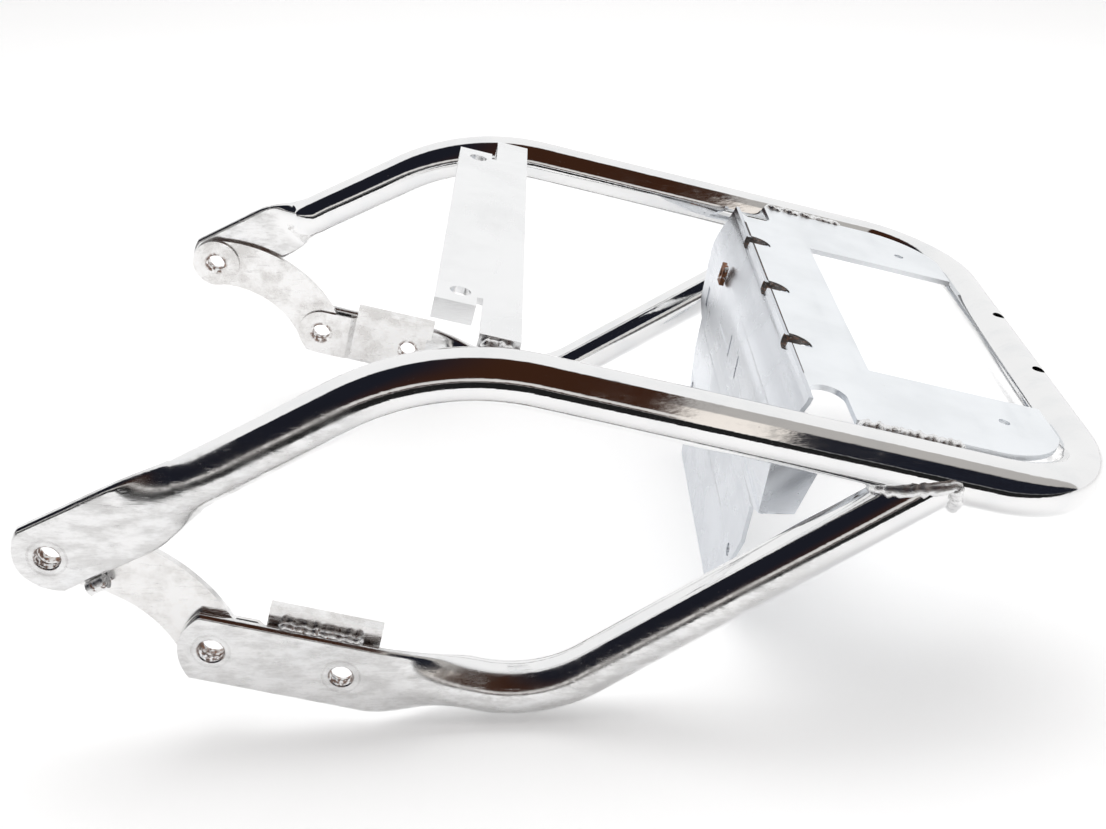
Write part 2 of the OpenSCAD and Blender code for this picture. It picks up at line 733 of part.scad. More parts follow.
hoop_tube();
brace_left();
brace_right();
link_plate_left();
link_plate_right();
upper_pad_left();
upper_pad_right();
backing_strip_left();
backing_strip_right();
ledge_left();
ledge_right();
cross_strap();
deck_plate();
hanging_plate();
plate_clip();
link_peg_left();
link_peg_right();
brace_weld_left();
brace_weld_right();
strap_weld_left();
strap_weld_right();
deck_weld_left();
deck_weld_right();
seam_welds();
ledge_weld_left();
ledge_weld_right();
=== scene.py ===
# Chromed tubular luggage rack for a motorcycle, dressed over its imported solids.
# The tubes, the weld beads, the hanging plate and its seam are new surfaces made from the same
# sizes. Every other piece keeps its solid.
import math

import bmesh
import bpy
import numpy as np
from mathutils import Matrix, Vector


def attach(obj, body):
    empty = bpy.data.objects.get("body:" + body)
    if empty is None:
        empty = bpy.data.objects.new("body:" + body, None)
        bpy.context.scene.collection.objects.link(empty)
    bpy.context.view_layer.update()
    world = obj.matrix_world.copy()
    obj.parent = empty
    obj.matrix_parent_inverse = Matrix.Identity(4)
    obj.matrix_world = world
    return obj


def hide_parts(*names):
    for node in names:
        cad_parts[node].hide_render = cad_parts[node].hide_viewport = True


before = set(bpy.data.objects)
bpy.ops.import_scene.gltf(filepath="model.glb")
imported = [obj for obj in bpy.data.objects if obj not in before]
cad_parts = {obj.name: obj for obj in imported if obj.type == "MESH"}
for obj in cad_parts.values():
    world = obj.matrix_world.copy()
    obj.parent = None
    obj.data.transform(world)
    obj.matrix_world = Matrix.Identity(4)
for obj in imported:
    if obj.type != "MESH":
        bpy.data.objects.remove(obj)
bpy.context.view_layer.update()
print("frame loaded:", len(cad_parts), "nodes")

# the rack's sizes, in millimetres, drawn level as in its source
rack = {
    "tubeD": 22.2, "braceD": 22.0, "railGap": 283.0, "lugGap": 321.0, "hoopLen": 277.0,
    "cornerR": 50.0, "apexR": 110.0, "legAngle": 40.3, "lugW": 32.4, "lugT": 4.2,
    "upperRun": 169.0, "linkDrop": 29.0, "linkBack": 67.4, "lowerPitch": 52.9,
    "braceRise": 1.5, "braceR": 60.0, "braceRun": 81.5, "swageGap": 3.2, "meetBack": 71.0,
    "deckBack": 125.5, "deckZ": 8.7, "deckY": 129.49, "hangLowX": 3.4, "hangLowZ": 123.0,
    "flatPast": 11.0, "upperBoreR": 5.0, "frontBoreR": 5.25, "rearBoreR": 4.75,
}
# the tube's two vent holes, and the strap whose rear arm carries a bead
vent = {"y": 32.0, "r": 3.0, "floorZ": 1.0, "margin": 3.4, "columns": 10}
strap = {"x": -5.0, "frontW": 17.0, "slit": 2.5, "z": 9.2, "rearY": 129.6}
# the camera's angles in radians and its place in millimetres
camera = {"focal": 1400.0, "imageW": 1106.0, "azimuth": 0.0077, "pitch": 0.474,
    "fromBox": (-16.58, -620.2, 379.2)}

railY = rack["railGap"]/2
lugY = rack["lugGap"]/2
tubeR = rack["tubeD"]/2
legA = math.radians(rack["legAngle"])
upperHole = (-rack["upperRun"]*math.cos(legA), -rack["upperRun"]*math.sin(legA))
lowerFront = (upperHole[0] + rack["linkBack"], upperHole[1] - rack["linkDrop"])
lowerRear = (lowerFront[0] + rack["lowerPitch"], lowerFront[1])
braceX = lowerRear[0] + rack["braceRun"]
braceZ = lowerFront[1] + rack["braceRise"]
braceMeet = rack["hoopLen"] - rack["meetBack"]
braceA = math.atan2(-braceZ, braceMeet - braceX)
deckX = rack["hoopLen"] - rack["deckBack"]
upperEnd = {"tip": 13.4, "endR": 18.0, "flat": 37.0, "swage": 34.0}
lowerEnd = {"tip": 13.4, "endR": 24.0, "flat": rack["lowerPitch"] + rack["flatPast"],
    "swage": (rack["braceRun"] - rack["flatPast"] - rack["swageGap"]
        - rack["braceR"]*math.tan(braceA/2))}

# the lean at which the braces and the hanging plate reach the floor together
arcX = braceX - rack["braceR"]*math.tan(braceA/2)
arcZ = braceZ + rack["braceR"]
lowDx = deckX + rack["hangLowX"] - arcX
lowDz = arcZ + rack["hangLowZ"]
lean = (math.asin((rack["braceR"] + rack["braceD"]/2)/math.hypot(lowDx, lowDz))
    - math.atan2(lowDz, lowDx))
cosL, sinL = math.cos(lean), math.sin(lean)
groundZ = arcZ*cosL - arcX*sinL - (rack["braceR"] + rack["braceD"]/2)
tipX = (upperHole[0]*cosL + upperHole[1]*sinL
    + (upperEnd["endR"] - upperEnd["tip"])*math.cos(legA - lean) - upperEnd["endR"])
midX = (rack["hoopLen"]*cosL + tubeR + tipX)/2


def toGround(points):  # level millimetres to metres of the leaned rack
    p = np.asarray(points, float)
    x, y, z = p[..., 0], p[..., 1], p[..., 2]
    return np.stack([x*cosL + z*sinL - midX, y, z*cosL - x*sinL - groundZ], -1)/1000


def unit(v):  # vectors made one long
    v = np.asarray(v, float)
    return v/np.linalg.norm(v, axis=-1, keepdims=True)


def makeMesh(name, points, faces, sharp=35):
    # one object from points in metres and a list of faces, smooth but for its sharp edges
    mesh = bpy.data.meshes.new(name)
    mesh.from_pydata(points, [], faces)
    mesh.update()
    mesh.polygons.foreach_set("use_smooth", np.ones(len(mesh.polygons), bool))
    mesh.set_sharp_from_angle(angle=math.radians(sharp))
    obj = bpy.data.objects.new(name, mesh)
    bpy.context.scene.collection.objects.link(obj)
    return obj


# tubes
tube = {"sides": 96, "flatShare": 20/24, "rimChamfer": 0.45, "borePatch": 9.0,
    "legRows": 6, "apexRows": 48, "railRows": 12, "cornerRows": 64, "crossRows": 96,
    "runRows": 3, "elbowRows": 56, "braceRows": 8, "tipRows": 12, "tipFrom": 0.03,
    "flatStep": 1.0, "flatLast": 0.4, "swageRows": 32, "boreHalf": 9.2, "intoRail": 0.3,
    "edgeMiddle": 0.9999, "patchRings": 5, "patchEase": 0.8, "blendBefore": 10,
    "blendAfter": 8, "weld": 1e-7}


def sectionPoints(flat, radius, widthShare):
    # a circle blended by the flatness into a flat bar with round edges: across, along its width
    n = tube["sides"]
    k = np.arange(n)
    turn = 2*np.pi*k/n
    quarter = n/4
    half = np.where((k < quarter) | (k >= 3*quarter), 1.0, -1.0)
    v = np.where(k <= quarter, k, np.where(k <= 3*quarter, 2*quarter - k, k - n))/quarter
    t, w = rack["lugT"]/2, (rack["lugW"] - rack["lugT"])/2
    edge = np.clip((np.abs(v) - tube["flatShare"])/(1 - tube["flatShare"]), 0, 1)*np.pi/2
    flatX = half*t*np.cos(edge)
    flatX = np.where(np.abs(v) > tube["edgeMiddle"], 0.0, flatX)
    flatY = np.sign(v)*(np.minimum(np.abs(v)/tube["flatShare"], 1)*w + t*np.sin(edge))
    f = flat[:, None]
    r = radius[:, None]
    s = widthShare[:, None]
    across = (1 - f)*r*np.cos(turn) + f*flatX
    along = ((1 - f)*r*np.sin(turn) + f*flatY)*s
    return across, along


def rings(st):
    # each station's section, square to the way of the tube and with its width upright
    t = unit(st["way"])
    up = unit(np.array([0, 0, 1.0]) - t*t[:, 2:3])
    across = np.cross(t, up)
    a, b = sectionPoints(st["flat"], st["radius"], st["width"])
    return (st["place"][:, None, :] + across[:, None, :]*a[..., None]
        + up[:, None, :]*b[..., None])


def stationsOf(place, way, flat, radius, width):
    # stations along a tube: place, way, flatness, radius and share of the full width of each
    place = np.asarray(place, float)
    n = len(place)
    fill = lambda v: np.full(n, float(v)) if np.ndim(v) == 0 else np.asarray(v, float)
    return {"place": place, "way": np.broadcast_to(np.asarray(way, float), (n, 3)).copy(),
        "flat": fill(flat), "radius": fill(radius), "width": fill(width)}


def joined(*parts):  # the stations of several stretches in one row
    return {k: np.concatenate([p[k] for p in parts]) for k in parts[0]}


def bend(a, c, b, r, d, n):
    # stations of an arc of radius r that rounds the corner c between a and b
    a, c, b = (np.asarray(p, float) for p in (a, c, b))
    d1, d2 = unit(c - a), unit(b - c)
    turn = math.acos(float(d1 @ d2))
    start = c - d1*r*math.tan(turn/2)
    centre = c + unit(d2 - d1)*r/math.cos(turn/2)
    ex = unit(start - centre)
    u = (turn*np.arange(n + 1)/n)[:, None]
    return stationsOf(centre + r*(np.cos(u)*ex + np.sin(u)*d1), np.cos(u)*d1 - np.sin(u)*ex,
        0, d/2, 1)


def straight(a, b, d, n):
    # stations on the straight from a to b, without its ends
    a, b = np.asarray(a, float), np.asarray(b, float)
    u = (np.arange(1, n)/n)[:, None]
    return stationsOf(a + (b - a)*u, unit(b - a), 0, d/2, 1)


def pressedEnd(at, way, end, d, rise):
    # a flattened end: an arc at its tip, a flat stretch, then a swage that turns round;
    # its outer face stays in one plane
    lc = end["endR"] - end["tip"]
    meet = math.asin(min(1.0, rack["lugW"]/2/end["endR"]))
    arc = np.linspace(tube["tipFrom"], meet, tube["tipRows"])
    tipL, tipW = lc - end["endR"]*np.cos(arc), end["endR"]*np.sin(arc)/(rack["lugW"]/2)
    tipL[0] = -end["tip"]
    flatL = np.arange(tipL[-1] + tube["flatStep"], end["flat"] - tube["flatLast"],
        tube["flatStep"])
    flatL = np.append(flatL, end["flat"])
    turn = np.linspace(0, 1, tube["swageRows"] + 1)[1:]
    ease = turn*turn*(3 - 2*turn)
    length = np.concatenate([tipL, flatL, end["flat"] + end["swage"]*turn])
    flat = np.concatenate([np.ones(len(tipL) + len(flatL)), 1 - ease])
    width = np.concatenate([tipW, np.ones(len(flatL) + len(turn))])
    lift = np.concatenate([np.zeros(len(tipL) + len(flatL)), rise*ease])
    y = lugY + rack["lugT"]/2 - (1 - flat)*d/2 - flat*rack["lugT"]/2
    place = np.stack([at[0] + length*way[0], y, at[1] + length*way[1] + lift], -1)
    st = stationsOf(place, [way[0], 0, way[1]], flat, d/2, width)
    return st, length


def rowRange(length, low, high):  # the two rows nearest to these lengths, in rising order
    return sorted((int(np.argmin(np.abs(length - low))), int(np.argmin(np.abs(length - high)))))


class TubeMesh:
    # a grid of rings, with blocks of its faces taken out for round holes
    def __init__(self, st):
        self.grid = rings(st)
        self.n, self.m = self.grid.shape[:2]
        self.points = [self.grid.reshape(-1, 3)]
        self.count = self.n*self.m
        self.open = np.ones((self.n - 1, self.m), bool)
        self.faces = []

    def add(self, points):
        first = self.count
        self.points.append(np.asarray(points, float).reshape(-1, 3))
        self.count += len(self.points[-1])
        return np.arange(first, self.count)

    def strip(self, a, b):  # faces between two rings of the same length
        c, d = np.roll(a, -1), np.roll(b, -1)
        self.faces += np.stack([a, c, d, b], -1).tolist()

    def perimeter(self, r0, r1, k0, k1):
        # grid points round a block, in turn
        cols = np.arange(k0, k1 + 1)
        rows = np.arange(r0, r1 + 1)
        path = ([(r0, k) for k in cols] + [(r, k1) for r in rows[1:]]
            + [(r1, k) for k in cols[::-1][1:]] + [(r, k0) for r in rows[::-1][1:-1]])
        return np.array([r*self.m + k % self.m for r, k in path])

    def patch(self, r0, r1, k0, k1, circle, onto):
        # rings from the block's edge to a circle; onto puts a ring on the surface
        self.open[r0:r1, np.arange(k0, k1) % self.m] = False
        edge = self.perimeter(r0, r1, k0, k1)
        outer = self.grid.reshape(-1, 3)[edge]
        inner = circle(outer)
        last = edge
        steps = tube["patchRings"]
        for i in range(1, steps + 1):
            u = (i/steps)**tube["patchEase"]
            ring = self.add(onto(outer*(1 - u) + inner*u))
            self.strip(last, ring)
            last = ring
        return last, inner

    def build(self, name, side):
        i, k = np.nonzero(self.open)
        j = (k + 1) % self.m
        quads = np.stack([i*self.m + k, i*self.m + j, (i + 1)*self.m + j, (i + 1)*self.m + k], -1)
        first, last = np.arange(self.m), np.arange(self.m) + (self.n - 1)*self.m
        a = self.add(self.grid[0].mean(0))[0]
        b = self.add(self.grid[-1].mean(0))[0]
        caps = [[a, int(q), int(p)] for p, q in zip(first, np.roll(first, -1))]
        caps += [[b, int(p), int(q)] for p, q in zip(last, np.roll(last, -1))]
        points = np.concatenate(self.points)
        faces = quads.tolist() + self.faces + caps
        points = points*[1, side, 1]
        obj = makeMesh(name, toGround(points), faces)
        outward(obj)
        return obj


def outward(obj):  # joins doubled points and turns every face to the outside
    work = bmesh.new()
    work.from_mesh(obj.data)
    bmesh.ops.remove_doubles(work, verts=work.verts, dist=tube["weld"])
    bmesh.ops.recalc_face_normals(work, faces=work.faces)
    work.to_mesh(obj.data)
    work.free()
    obj.data.update()


def lugBore(mesh, st, length, at, way, centreL, radius):
    # a bore with small chamfers through both faces of a flattened end
    rim = tube["rimChamfer"]
    hx, hz = at[0] + centreL*way[0], at[1] + centreL*way[1]
    r0, r1 = rowRange(length, centreL - tube["borePatch"], centreL + tube["borePatch"])
    quarterFlat = tube["flatShare"]*tube["sides"]/4
    cols = int(round(tube["boreHalf"]/((rack["lugW"] - rack["lugT"])/2)*quarterFlat))
    walls = []
    for middle in (0, tube["sides"]//2):
        def circle(outer, r=radius + rim):
            out = outer.copy()
            away = unit(outer[:, [0, 2]] - [hx, hz])
            out[:, 0], out[:, 2] = hx + r*away[:, 0], hz + r*away[:, 1]
            return out
        last, ring = mesh.patch(r0, r1, middle - cols, middle + cols, circle, lambda p: p)
        inward = np.sign(st["place"][r0, 1] - ring[0, 1])
        lower = circle(ring, radius)
        lower[:, 1] += inward*rim
        low = mesh.add(lower)
        mesh.strip(last, low)
        walls.append((low, lower))
    # the wall joins the points of the two faces that have the same angle
    (lowA, ptsA), (lowB, ptsB) = walls
    angle = lambda p: np.arctan2(p[:, 2] - hz, p[:, 0] - hx)
    orderA, orderB = np.argsort(angle(ptsA)), np.argsort(angle(ptsB))
    mesh.strip(lowA[orderA], lowB[orderB])


def ventHole(mesh, st, y, radius):
    # a round hole in the top of the cross tube, down to the tube's middle
    rows = np.nonzero((np.abs(st["place"][:, 1] - y) < radius + vent["margin"])
        & (st["place"][:, 0] > rack["hoopLen"] - 0.01))[0]
    r0, r1 = rows[0], rows[-1]
    k = tube["sides"]//4
    cx = rack["hoopLen"]

    def onto(p):
        p = p.copy()
        away = unit(p[:, [0, 2]] - [cx, 0])
        p[:, 0], p[:, 2] = cx + tubeR*away[:, 0], tubeR*away[:, 1]
        return p

    def circle(outer):
        away = unit(outer[:, [0, 1]] - [cx, y])
        out = outer.copy()
        out[:, 0], out[:, 1] = cx + radius*away[:, 0], y + radius*away[:, 1]
        out[:, 2] = np.sqrt(tubeR**2 - (out[:, 0] - cx)**2)
        return out

    last, ring = mesh.patch(r0, r1, k - vent["columns"], k + vent["columns"], circle, onto)
    deep = ring.copy()
    deep[:, 2] = vent["floorZ"]
    floorRing = mesh.add(deep)
    mesh.strip(last, floorRing)
    centre = int(mesh.add([[cx, y, vent["floorZ"]]])[0])
    mesh.faces += [[int(a), int(b), centre] for a, b in zip(floorRing, np.roll(floorRing, -1))]


def makeHoop():
    # one lug, leg, bend, rail and rear bend up to the middle of the cross tube, and its mirror
    way = (math.cos(legA), math.sin(legA))
    end, length = pressedEnd(upperHole, way, upperEnd, rack["tubeD"], 0)
    start = end["place"][-1]
    corner1, corner2 = [0, railY, 0], [rack["hoopLen"], railY, 0]
    rearMiddle = [rack["hoopLen"], 0, 0]
    d = rack["tubeD"]
    apex = bend(start, corner1, corner2, rack["apexR"], d, tube["apexRows"])
    rear = bend(corner1, corner2, rearMiddle, rack["cornerR"], d, tube["cornerRows"])
    leg = straight(start, apex["place"][0], d, tube["legRows"])
    rail = straight(apex["place"][-1], rear["place"][0], d, tube["railRows"])
    crossTube = straight(rear["place"][-1], rearMiddle, d, tube["crossRows"])
    one = joined(end, leg, apex, rail, rear, crossTube)
    # round the swage's end the ways of the rings lean towards the line, so that no kink shows
    swaged = slice(len(length) - tube["blendBefore"], len(length) + tube["blendAfter"])
    line = unit(np.gradient(one["place"], axis=0)[swaged])
    one["way"][swaged] = unit((one["way"][swaged] + line)/2)
    back = {k: v[::-1].copy() for k, v in one.items()}
    back["place"] = back["place"]*[1, -1, 1]
    back["way"] = back["way"]*[-1, 1, -1]
    middle = stationsOf([rearMiddle], [0, -1, 0], 0, tubeR, 1)
    whole = joined(one, middle, back)
    mesh = TubeMesh(whole)
    lugBore(mesh, whole, length, upperHole, way, 0, rack["upperBoreR"])
    # the end of the list is the other lug, whose rows run backwards
    total = len(whole["place"])
    backLength = np.full(total, 1e9)
    backLength[total - len(length):] = length[::-1]
    lugBore(mesh, whole, backLength, upperHole, way, 0, rack["upperBoreR"])
    for y in (vent["y"], -vent["y"]):
        ventHole(mesh, whole, y, vent["r"])
    return mesh.build("hoop_tube_polished", 1)


def braceLine(startY):
    # the brace's corner, the point on the rail's line that it aims at, and its way there
    corner = np.array([braceX, startY, braceZ])
    meet = np.array([braceMeet, railY, 0.0])
    return corner, meet, unit(meet - corner)


def ontoRail(line, way, radius):
    # points carried along the brace until they lie at this radius from the rail's line
    rel = (line - [0, railY, 0])*[0, 1, 1]
    flatWay = way*[0, 1, 1]
    a, b = flatWay @ flatWay, rel @ flatWay
    c = (rel*rel).sum(1) - radius**2
    shift = (-b - np.sqrt(np.maximum(b*b - a*c, 0)))/a
    return line + shift[:, None]*way


def makeBrace(name, side):
    # the long lug, a short run, the elbow and a straight up to the rail
    end, length = pressedEnd(lowerFront, (1, 0), lowerEnd, rack["braceD"], rack["braceRise"])
    start = end["place"][-1]
    corner, meet, way = braceLine(start[1])
    d = rack["braceD"]
    elbow = bend(start, corner, meet, rack["braceR"], d, tube["elbowRows"])
    leg = straight(elbow["place"][-1], meet - way*rack["tubeD"], d, tube["braceRows"])
    run = straight(start, elbow["place"][0], d, tube["runRows"])
    st = joined(end, run, elbow, leg, stationsOf([meet - way*tubeR], way, 0, d/2, 1))
    mesh = TubeMesh(st)
    # the last ring reaches a little into the rail's skin
    mesh.grid[-1] = ontoRail(mesh.grid[-1], way, tubeR - tube["intoRail"])
    mesh.points[0] = mesh.grid.reshape(-1, 3)
    lugBore(mesh, st, length, lowerFront, (1, 0), 0, rack["frontBoreR"])
    lugBore(mesh, st, length, lowerFront, (1, 0), rack["lowerPitch"], rack["rearBoreR"])
    return mesh.build(name, side)


def standIn(obj, node):
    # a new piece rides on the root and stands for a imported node
    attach(obj, "root")
    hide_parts(node)
    return obj


hoop = standIn(makeHoop(), "hoop_tube")
braceRight = standIn(makeBrace("brace_right_polished", 1), "brace_right")
braceLeft = standIn(makeBrace("brace_left_polished", -1), "brace_left")
print("tubes made")

# weld beads
bead = {"sides": 24, "ripple": 0.16, "rippleMean": 0.6, "lump": 0.20, "lumpScale": 0.9,
    "pitch": 3.4, "step": 0.45, "up": (0, 0.3, 1.0), "endLength": 1.2, "endLeast": 0.0025,
    "sharp": 80, "seeds": {"right": 11, "left": 23}}
wave = {"count": 7, "slowest": 0.35, "spread": 1.7, "turns": 4, "phase": 6.28, "fade": 0.3,
    "size": 2.6}
# each bead's radius, its two ends along x, and how far it lies out from and above its piece
welds = {
    "brace": {"r": 2.6, "points": 150, "outBrace": 0.6, "outRail": 0.5},
    "deck": {"r": 2.9, "x": (deckX + 16, deckX + 62), "out": 1.5, "up": -1.6},
    "strap": {"r": 2.7, "x": (1.0, 14.5), "out": 1.6, "up": -3.6},
    "ledge": {"r": 2.0, "x": (-37.5, -2.5), "out": 0.4, "up": 16.6},
}


def lumps(rng, s, turn, scale):
    # a sum of waves along the bead and round it, with seeded phases
    out = np.zeros(np.broadcast(s, turn).shape)
    for i in range(wave["count"]):
        f = scale*(wave["slowest"] + rng.random()*wave["spread"])
        g = rng.integers(0, wave["turns"])
        out += np.sin(f*s + g*turn + rng.random()*wave["phase"])/(1 + wave["fade"]*i)
    return out/wave["size"]


def beadShape(path, radius, seed, closed=False):
    # a bead of overlapping drops along a path: a tube whose radius has ripples and lumps
    rng = np.random.default_rng(seed)
    path = np.asarray(path, float)
    n, m = len(path), bead["sides"]
    nxt, prv = (np.roll(path, -1, 0), np.roll(path, 1, 0)) if closed else (
        np.concatenate([path[1:], 2*path[-1:] - path[-2:-1]]),
        np.concatenate([2*path[:1] - path[1:2], path[:-1]]))
    way = unit(nxt - prv)
    up = unit(np.array(bead["up"]) - way*(way @ np.array(bead["up"]))[:, None])
    across = np.cross(way, up)
    s = np.concatenate([[0], np.cumsum(np.linalg.norm(np.diff(path, axis=0), axis=1))])[:, None]
    turn = (2*np.pi*np.arange(m)/m)[None, :]
    ripple = np.abs(np.sin(np.pi*s/bead["pitch"])) - bead["rippleMean"]
    r = radius*(1 + bead["ripple"]*ripple + bead["lump"]*lumps(rng, s, turn, bead["lumpScale"]))
    if not closed:
        e = np.clip(np.minimum(s, s[-1] - s)/(radius*bead["endLength"]), 0, 1)
        r = r*np.sqrt(np.clip(1 - (1 - e)**2, bead["endLeast"], 1))
    grid = (path[:, None] + across[:, None]*(r*np.cos(turn))[..., None]
        + up[:, None]*(r*np.sin(turn))[..., None])
    i = np.arange(n if closed else n - 1)[:, None]
    k = np.arange(m)[None, :]
    i2, k2 = (i + 1) % n, (k + 1) % m
    faces = np.stack([i*m + k, i*m + k2, i2*m + k2, i2*m + k], -1).reshape(-1, 4).tolist()
    points = grid.reshape(-1, 3)
    if not closed:
        points = np.concatenate([points, path[:1], path[-1:]])
        faces += [[n*m, (j + 1) % m, j] for j in range(m)]
        faces += [[n*m + 1, (n - 1)*m + j, (n - 1)*m + (j + 1) % m] for j in range(m)]
    return points, faces


def makeBead(name, shape, side, node, slot):  # one bead on its side of the rack
    points, faces = shape
    obj = makeMesh(name, toGround(points*[1, side, 1]), faces, bead["sharp"])
    outward(obj)
    return standIn(obj, node)


def saddlePath(weld):
    # where the skin of the brace meets the skin of the rail
    n = weld["points"]
    _, meet, way = braceLine(lugY + rack["lugT"]/2 - rack["braceD"]/2)
    up = unit(np.array([0, 0, 1.0]) - way*way[2])
    across = np.cross(way, up)
    turn = (2*np.pi*np.arange(n)/n)[:, None]
    r = rack["braceD"]/2 + weld["outBrace"]
    line = meet + r*(across*np.cos(turn) + up*np.sin(turn))
    return ontoRail(line, way, tubeR + weld["outRail"])


def linePath(a, b):  # points at even steps on a straight line
    a, b = np.asarray(a, float), np.asarray(b, float)
    n = int(np.linalg.norm(b - a)/bead["step"]) + 1
    return a + (b - a)*np.linspace(0, 1, n)[:, None]


def besidePath(weld, x, y, z):
    # the line of a bead along x, measured from the piece that it holds
    y, z = y + weld["out"], z + weld["up"]
    return linePath([x + weld["x"][0], y, z], [x + weld["x"][1], y, z])


strapRearX = strap["x"] + strap["frontW"] + strap["slit"]
weldPaths = {
    "brace": saddlePath(welds["brace"]),
    "deck": besidePath(welds["deck"], 0, rack["deckY"], rack["deckZ"]),
    "strap": besidePath(welds["strap"], strapRearX, strap["rearY"], strap["z"]),
    "ledge": besidePath(welds["ledge"], 0, lugY - rack["lugT"]/2, lowerFront[1]),
}
beads = []
for side, hand in ((1, "right"), (-1, "left")):
    for i, (kind, path) in enumerate(weldPaths.items()):
        shape = beadShape(path, welds[kind]["r"], bead["seeds"][hand] + i, kind == "brace")
        beads.append(makeBead(kind + "_weld_rough_" + hand, shape, side, kind + "_weld_" + hand,
            "rusted_bead" if kind == "ledge" else "bead_steel"))
print("beads made:", len(beads))

# hanging plate and the seam above it
hang = {"rollX": 6.5, "rollZ": 12.0, "foldX": 3.0, "foldZ": 48.0, "soften": 9.0, "rows": 2.0,
    "seamPitch": 62.6, "holeR": 9.5, "chord": 1.5, "arcUp": 6.0, "seamEnd": 94.0,
    "topZ": 8.0, "fadeZ": 6.0, "topFoldZ": 5.2, "pastZ": 20.0, "softSteps": 41, "sharp": 30,
    "seamSharp": 60}
seamBead = {"r": 1.9, "x": 1.3, "z": 4.9, "half": 9.6, "seed": 40}
# the dark skins in the seam openings: partly rust, partly painted shade
rustAndShade = {"columns": 48, "rows": 16, "play": 0.15, "front": 3.6, "frontR": 3.9, "thick": 0.5,
    "sag": 0.7, "down": 0.25, "seed": 60, "rimLeft": 0.05, "askew": 0.35, "edgeAt": -0.2,
    "ragged": 0.9, "raggedScale": 1.1, "narrowest": 0.3, "widest": 9.3, "overPlate": 0.25,
    "underDeck": 0.05, "plateFrom": 4.0, "plateFade": 3.5, "curl": 0.12}
# the strips of painted shade along the seam's gap
seamShadeLine = {"rows": 24, "above": 0.06, "thick": 0.12, "wide": 0.35, "flare": 0.10, "grow": 0.12}


def toLevel(points):  # metres of the leaned rack to level millimetres
    p = np.asarray(points, float)*1000 + [midX, 0, groundZ]
    return np.stack([p[:, 0]*cosL - p[:, 2]*sinL, p[:, 1], p[:, 0]*sinL + p[:, 2]*cosL], -1)


def foldedX(z):  # the plate's front line as drawn: straight from fold to fold
    knotsZ = [-rack["hangLowZ"], -hang["foldZ"], -hang["rollZ"], hang["topFoldZ"], hang["pastZ"]]
    knotsX = [rack["hangLowX"], -hang["foldX"], -hang["rollX"], 0, 0]
    return np.interp(z, knotsZ, knotsX)


def softX(z):  # the same line with its folds rolled: its mean over a window
    steps = np.linspace(-1, 1, hang["softSteps"])*hang["soften"]
    return np.mean([foldedX(z + d) for d in steps], 0)


def makeHangingPlate():
    # the node's own solid, cut into rows, each row moved from the folded line to the rolled one
    work = bmesh.new()
    work.from_mesh(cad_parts["hanging_plate"].data)
    bmesh.ops.remove_doubles(work, verts=work.verts, dist=2e-6)
    upward = toGround([[0, 0, 1]])[0] - toGround([[0, 0, 0]])[0]
    for z in np.arange(-rack["hangLowZ"] + 1, hang["topZ"], hang["rows"]):
        co = toGround([[deckX, 0, z]])[0]
        bmesh.ops.bisect_plane(work, geom=work.verts[:] + work.edges[:] + work.faces[:],
            dist=1e-7, plane_co=co, plane_no=unit(upward))
    mesh = bpy.data.meshes.new("hanging_plate_rolled")
    work.to_mesh(mesh)
    work.free()
    co = np.zeros(len(mesh.vertices)*3, np.float32)
    mesh.vertices.foreach_get("co", co)
    level = toLevel(co.reshape(-1, 3))
    fade = np.clip((rack["deckZ"] - level[:, 2])/hang["fadeZ"], 0, 1)
    level[:, 0] += (softX(level[:, 2]) - foldedX(level[:, 2]))*fade
    mesh.vertices.foreach_set("co", toGround(level).astype(np.float32).ravel())
    mesh.update()
    mesh.polygons.foreach_set("use_smooth", np.ones(len(mesh.polygons), bool))
    mesh.set_sharp_from_angle(angle=math.radians(hang["sharp"]))
    obj = bpy.data.objects.new("hanging_plate_rolled", mesh)
    bpy.context.scene.collection.objects.link(obj)
    return standIn(obj, "hanging_plate")


def makeSkin(top, thick):
    # a closed sheet from a grid of points: the grid, its copy below and the rim between
    n, m = top.shape[:2]
    both = np.concatenate([top.reshape(-1, 3), (top - [0, 0, thick]).reshape(-1, 3)])
    i, k = np.arange(n - 1)[:, None], np.arange(m - 1)[None, :]
    a = i*m + k
    quads = np.stack([a, a + 1, a + m + 1, a + m], -1).reshape(-1, 4)
    faces = quads.tolist() + (quads[:, ::-1] + n*m).tolist()
    rim = (list(range(m)) + [q*m + m - 1 for q in range(1, n)]
        + [(n - 1)*m + j for j in range(m - 2, -1, -1)] + [q*m for q in range(n - 2, 0, -1)])
    faces += [[p, q, q + n*m, p + n*m] for p, q in zip(rim, rim[1:] + rim[:1])]
    return both, faces


